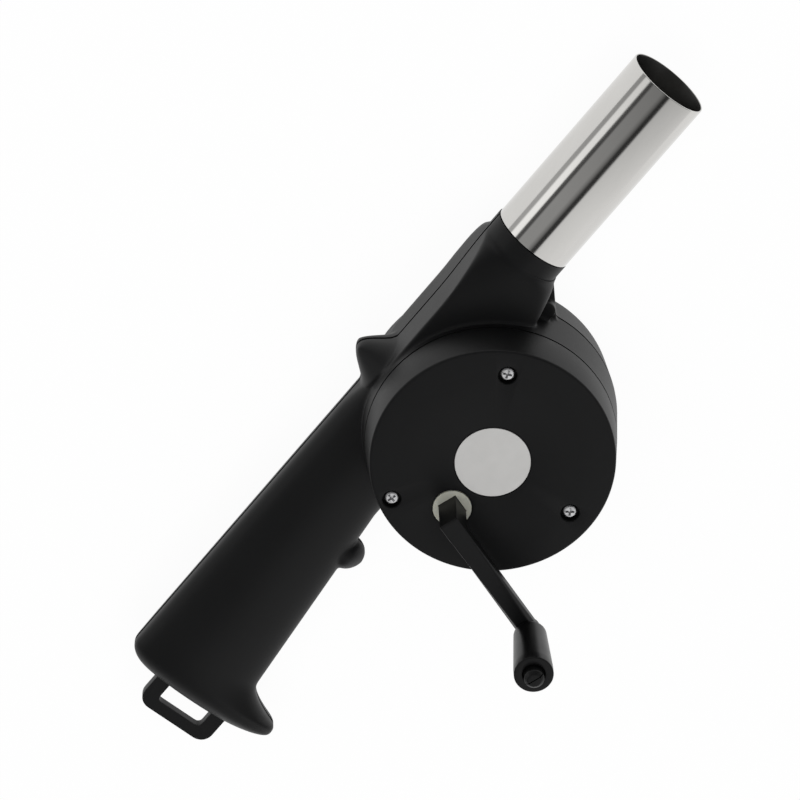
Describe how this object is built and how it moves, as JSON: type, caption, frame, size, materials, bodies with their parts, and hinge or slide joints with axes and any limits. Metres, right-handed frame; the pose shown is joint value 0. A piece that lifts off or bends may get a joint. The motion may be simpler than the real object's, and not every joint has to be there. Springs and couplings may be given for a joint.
{
  "type": "hand-cranked barbecue blower",
  "caption": "Hand-cranked air blower with a round geared drum, straight moulded handle with a hanging loop, steel nozzle tube and a turning crank with a knob.",
  "frame": {"origin": "centre of the flat back face of the drum, on which the blower rests", "axes": "+Z along the crank and fan axes, out of the drum's front face; +X along the nozzle; +Y towards the side of the drum that the handle and nozzle lie on"},
  "size_m": [0.3095, 0.1098, 0.1052],
  "materials": {
    "black_shell": "fine moulded texture, satin",
    "black_crank": "smooth moulded, satin",
    "black_knob": "smooth, semi-gloss",
    "cream_nylon": "natural nylon",
    "tube_steel": "polished stainless steel",
    "plain_steel": "bright drawn steel",
    "zinc": "bright zinc plating",
    "bush_brass": "sintered, dull",
    "label_white": "satin printed film"
  },
  "bodies": {
    "housing": {"front_shell": "black_shell", "rear_shell": "black_shell", "gear_cover": "black_shell", "nozzle_tube": "tube_steel", "centre_label": "label_white", "cover_screw_1": "zinc", "cover_screw_2": "zinc", "cover_screw_3": "zinc", "shell_screw_1": "zinc", "shell_screw_2": "zinc", "shell_screw_3": "zinc", "shell_screw_4": "zinc", "shell_screw_5": "zinc", "shell_screw_6": "zinc", "idler_pin": "plain_steel", "idler_washer": "zinc", "shaft_washer": "zinc", "front_bush": "bush_brass", "rear_bush": "bush_brass"},
    "crank": {"crank_arm": "black_crank", "crank_gear": "cream_nylon", "crank_screw": "zinc", "crank_washer": "zinc"},
    "knob": {"crank_knob": "black_knob"},
    "idler": {"idler_gear": "cream_nylon"},
    "fan": {"fan_shaft": "plain_steel", "fan_pinion": "cream_nylon", "impeller": "black_shell", "shaft_clip": "plain_steel"}
  },
  "joints": [
    {"name": "crank_turn", "type": "hinge", "parent": "housing", "child": "crank", "pos_m": [-0.0229, 0, 0.0552], "axis": [0, 0, 1], "continuous": true},
    {"name": "knob_spin", "type": "hinge", "parent": "crank", "child": "knob", "pos_m": [-0.03893, -0.04736, 0.0868], "axis": [0, 0, 1], "continuous": true},
    {"name": "idler_turn", "type": "hinge", "parent": "housing", "child": "idler", "pos_m": [-0.01022, -0.01333, 0.0458], "axis": [0, 0, 1], "continuous": true},
    {"name": "fan_spin", "type": "hinge", "parent": "housing", "child": "fan", "pos_m": [0, 0, 0.028], "axis": [0, 0, 1], "continuous": true}
  ],
  "couplings": [
    {"joint": "idler_turn", "follows": "crank_turn", "ratio": -2.8333},
    {"joint": "fan_spin", "follows": "crank_turn", "ratio": 7.0833}
  ]
}
